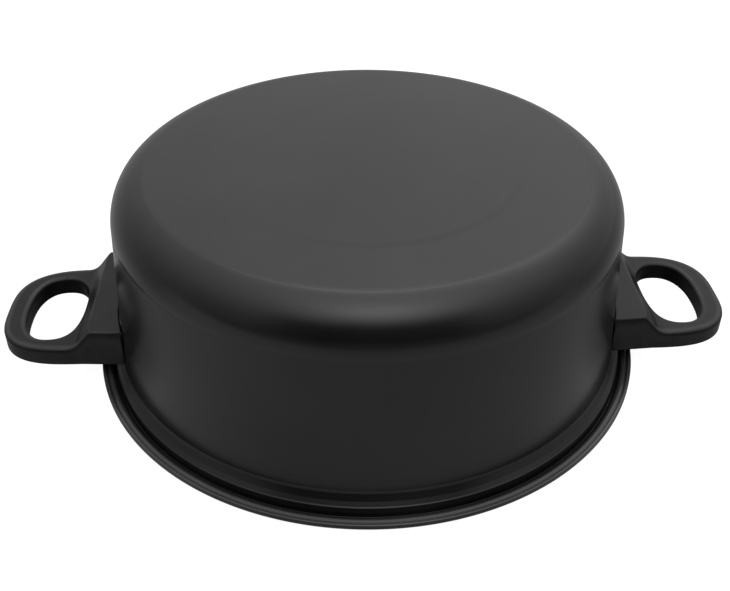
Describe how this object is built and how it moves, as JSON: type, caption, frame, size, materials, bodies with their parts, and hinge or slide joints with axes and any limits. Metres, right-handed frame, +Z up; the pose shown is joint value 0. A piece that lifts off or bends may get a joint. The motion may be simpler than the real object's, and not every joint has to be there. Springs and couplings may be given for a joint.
{
  "type": "dutch oven",
  "caption": "Round black dutch oven with a stepped rim and moulded loop handles screwed to its sides, standing upside down on its rim, without its lid.",
  "frame": {"origin": "centre of the rim plane, which the pot stands on upside down", "axes": "+Z up along the pot axis towards the outer face of the base, +X towards the right handle, -Y towards the front"},
  "size_m": [0.3892, 0.29, 0.1082],
  "materials": {
    "casting": "smooth black satin coating",
    "handle": "fine matt moulded phenolic, black",
    "steel": "plain stainless"
  },
  "bodies": {
    "root": {"pot_body": "casting", "handle_left": "handle", "handle_right": "handle", "screw_left_front": "steel", "screw_left_back": "steel", "screw_right_front": "steel", "screw_right_back": "steel", "washer_left_front": "steel", "washer_left_back": "steel", "washer_right_front": "steel", "washer_right_back": "steel"}
  },
  "joints": []
}
